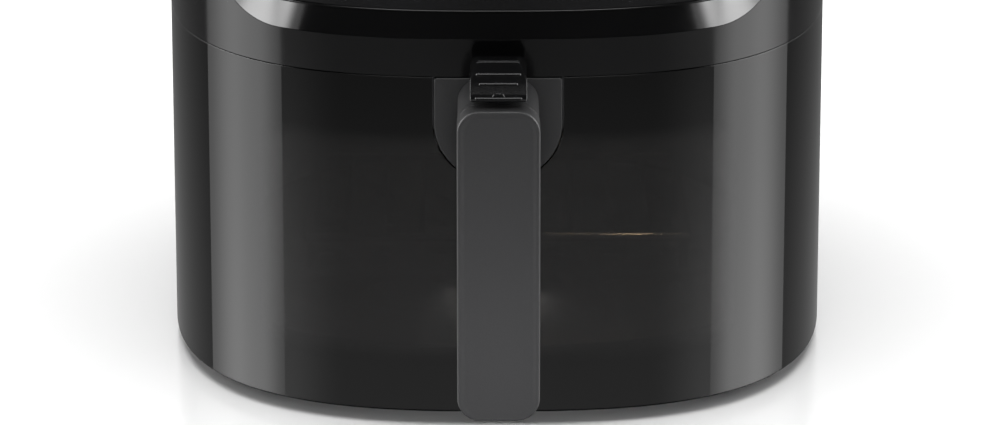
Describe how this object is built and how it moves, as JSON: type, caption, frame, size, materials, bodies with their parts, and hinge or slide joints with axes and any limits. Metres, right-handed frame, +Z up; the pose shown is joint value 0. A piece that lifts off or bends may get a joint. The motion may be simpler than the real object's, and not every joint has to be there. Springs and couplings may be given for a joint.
{
  "type": "hot air fryer",
  "caption": "Hot-air fryer: black body, touch panel, front drawer with a smoked window, handle and thumb release, crisper plate, rack, heater and fan.",
  "frame": {"origin": "on the standing surface, under the middle of the whole machine with its handle and rear vent", "axes": "+Z up, -Y towards the user, who stands at the drawer's handle; +X to that user's right"},
  "size_m": [0.29, 0.393, 0.3178],
  "materials": {
    "shell": "black moulded plastic, satin gloss",
    "inner_plastic": "black glass-filled plastic",
    "panel_trim": "high-gloss black plastic",
    "panel_glass": "black-backed touch panel, high gloss",
    "lens": "smoked tempered glass, black print round the window",
    "grip": "dark grey soft-touch plastic",
    "button": "gloss black plastic",
    "rubber": "black silicone rubber",
    "nonstick": "black non-stick coating on steel",
    "sheet_steel": "zinc-coated sheet steel",
    "bright_steel": "bright plated steel",
    "element": "heat-tinted tubular heater sheath",
    "lamination": "varnished steel laminations",
    "copper": "enamelled copper wire",
    "bronze": "sintered bronze",
    "fan_metal": "pressed aluminium",
    "sensor": "stainless probe",
    "ceramic": "white ceramic",
    "board": "green circuit board",
    "board_parts": "moulded component cases",
    "clear_glass": "clear heat-resistant glass"
  },
  "bodies": {
    "housing": {"housing_shell": "shell", "top_cover": "shell", "panel_bezel": "panel_trim", "panel_glass": "panel_glass", "panel_carrier": "inner_plastic", "display_board": "board", "base_plate": "inner_plastic", "rubber_feet": "rubber", "foot_screws": "bright_steel", "head_floor": "sheet_steel", "inner_liner": "sheet_steel", "side_rails": "sheet_steel", "heat_shield": "sheet_steel", "heating_element": "element", "element_brackets": "sheet_steel", "element_guard": "bright_steel", "motor_stator": "lamination", "motor_windings": "copper", "motor_brackets": "sheet_steel", "shaft_bushes": "bronze", "motor_posts": "bright_steel", "temperature_sensor": "sensor", "thermal_cutout": "ceramic", "power_board": "board", "board_parts": "board_parts", "lamp_holder": "ceramic", "lamp_bulb": "clear_glass", "lamp_cover": "clear_glass", "air_duct": "sheet_steel", "rear_vent": "shell", "intake_grille": "shell", "cord_gland": "rubber", "drawer_switch": "inner_plastic", "latch_strike": "bright_steel"},
    "rotor": {"motor_shaft": "bright_steel", "rotor_core": "lamination", "hot_fan": "fan_metal", "cooling_fan": "fan_metal", "fan_nut": "bright_steel"},
    "drawer": {"front_lens": "lens", "drawer_frame": "inner_plastic", "inner_glass": "clear_glass", "window_seal": "rubber", "drawer_pan": "nonstick", "handle_mount": "grip", "handle_bracket": "bright_steel", "grip_front": "grip", "grip_rear": "grip", "handle_screws": "bright_steel", "latch_pin": "bright_steel", "latch_spring": "bright_steel"},
    "button": {"thumb_button": "button"},
    "hook": {"latch_hook": "bright_steel"},
    "crisper": {"crisper_plate": "nonstick", "plate_bumpers": "rubber"},
    "rack": {"wire_rack": "bright_steel"}
  },
  "joints": [
    {"name": "drawer_slide", "type": "slide", "parent": "housing", "child": "drawer", "axis": [0, -1, 0], "range_m": [0, 0.29]},
    {"name": "fan_spin", "type": "hinge", "parent": "housing", "child": "rotor", "pos_m": [0, 0.0105, 0.2], "axis": [0, 0, 1], "continuous": true},
    {"name": "button_press", "type": "slide", "parent": "drawer", "child": "button", "axis": [0, 0, -1], "range_m": [0, 0.0024], "stiffness_N_per_m": 600, "deforming": ["latch_spring"]},
    {"name": "hook_swing", "type": "hinge", "parent": "drawer", "child": "hook", "pos_m": [0, -0.1905, 0.147], "axis": [-1, 0, 0], "range_deg": [0, 6.2]},
    {"name": "plate_lift", "type": "slide", "parent": "drawer", "child": "crisper", "axis": [0, 0, 1], "range_m": [0, 0.04]},
    {"name": "rack_lift", "type": "slide", "parent": "crisper", "child": "rack", "axis": [0, 0, 1], "range_m": [0, 0.045]}
  ],
  "couplings": [
    {"joint": "hook_swing", "follows": "button_press", "rad_per_m": 44.3}
  ]
}
